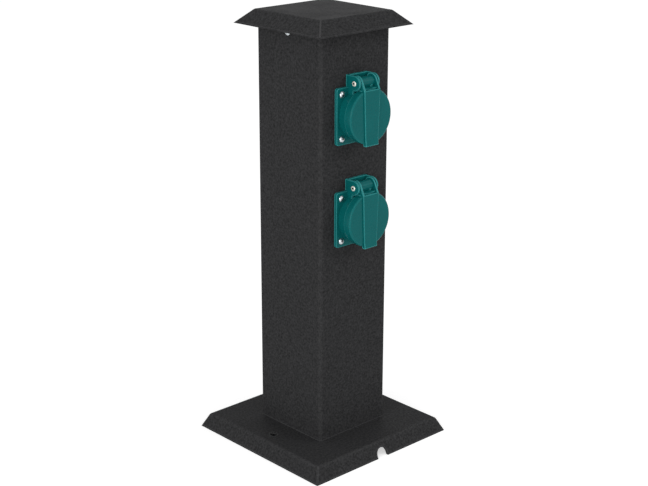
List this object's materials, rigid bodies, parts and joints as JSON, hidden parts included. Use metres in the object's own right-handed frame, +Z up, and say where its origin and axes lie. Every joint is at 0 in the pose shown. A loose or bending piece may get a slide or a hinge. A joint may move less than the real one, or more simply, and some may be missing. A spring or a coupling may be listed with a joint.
{
  "type": "garden socket post",
  "caption": "Square black steel post with a spread base and an overhanging cap, carrying two teal mains sockets with sprung hinged lids for outdoor use.",
  "frame": {"origin": "centre of the base's lower rim, on the ground", "axes": "+Z up along the post, -Y out of the socket face, +X to the right seen from the sockets"},
  "size_m": [0.16, 0.16, 0.39],
  "materials": {
    "powder_coat": "fine textured black powder coat",
    "teal_plastic": "satin moulded teal",
    "screw_steel": "bright stainless",
    "zinc_steel": "zinc plated",
    "pin_steel": "plated hollow rivet",
    "spring_steel": "drawn wire",
    "brass": "machined",
    "tinned_copper": "tin plated",
    "black_rubber": "matte",
    "white_plastic": "matte moulded",
    "live_insulation": "brown",
    "neutral_insulation": "blue",
    "earth_insulation": "green with yellow"
  },
  "bodies": {
    "post": {"base": "powder_coat", "column": "powder_coat", "cap": "powder_coat", "cap_strap": "zinc_steel", "cap_screws": "screw_steel", "cap_nuts": "zinc_steel", "foot_screws": "zinc_steel", "foot_nuts": "zinc_steel", "cable_grommet": "black_rubber", "terminal_bracket": "zinc_steel", "terminal_block": "white_plastic", "terminal_tubes": "brass", "terminal_tube_screws": "zinc_steel", "block_screws": "zinc_steel", "block_nuts": "zinc_steel", "earth_stud": "brass", "earth_stud_nut": "brass", "earth_ring": "tinned_copper", "frame_earth_lead": "earth_insulation", "lower_live_lead": "live_insulation", "upper_live_lead": "live_insulation", "lower_earth_lead": "earth_insulation", "upper_earth_lead": "earth_insulation", "lower_neutral_lead": "neutral_insulation", "upper_neutral_lead": "neutral_insulation", "upper_socket_body": "teal_plastic", "upper_flange_gasket": "black_rubber", "upper_flange_screws": "screw_steel", "upper_flange_nuts": "zinc_steel", "upper_insert": "teal_plastic", "upper_centre_screw": "screw_steel", "upper_contacts": "brass", "upper_earth_strap": "tinned_copper", "upper_terminal_screws": "zinc_steel", "upper_hinge_pin": "pin_steel", "lower_socket_body": "teal_plastic", "lower_flange_gasket": "black_rubber", "lower_flange_screws": "screw_steel", "lower_flange_nuts": "zinc_steel", "lower_insert": "teal_plastic", "lower_centre_screw": "screw_steel", "lower_contacts": "brass", "lower_earth_strap": "tinned_copper", "lower_terminal_screws": "zinc_steel", "lower_hinge_pin": "pin_steel"},
    "upper_lid_group": {"upper_lid": "teal_plastic", "upper_lid_seal": "black_rubber", "upper_lid_spring": "spring_steel"},
    "lower_lid_group": {"lower_lid": "teal_plastic", "lower_lid_seal": "black_rubber", "lower_lid_spring": "spring_steel"}
  },
  "joints": [
    {"name": "upper_lid_hinge", "type": "hinge", "parent": "post", "child": "upper_lid_group", "pos_m": [0, -0.0505, 0.3354], "axis": [-1, 0, 0], "range_deg": [0, 110], "stiffness_Nm_per_rad": 0.012, "springref_deg": -45.84},
    {"name": "lower_lid_hinge", "type": "hinge", "parent": "post", "child": "lower_lid_group", "pos_m": [0, -0.0505, 0.2454], "axis": [-1, 0, 0], "range_deg": [0, 110], "stiffness_Nm_per_rad": 0.012, "springref_deg": -45.84}
  ]
}
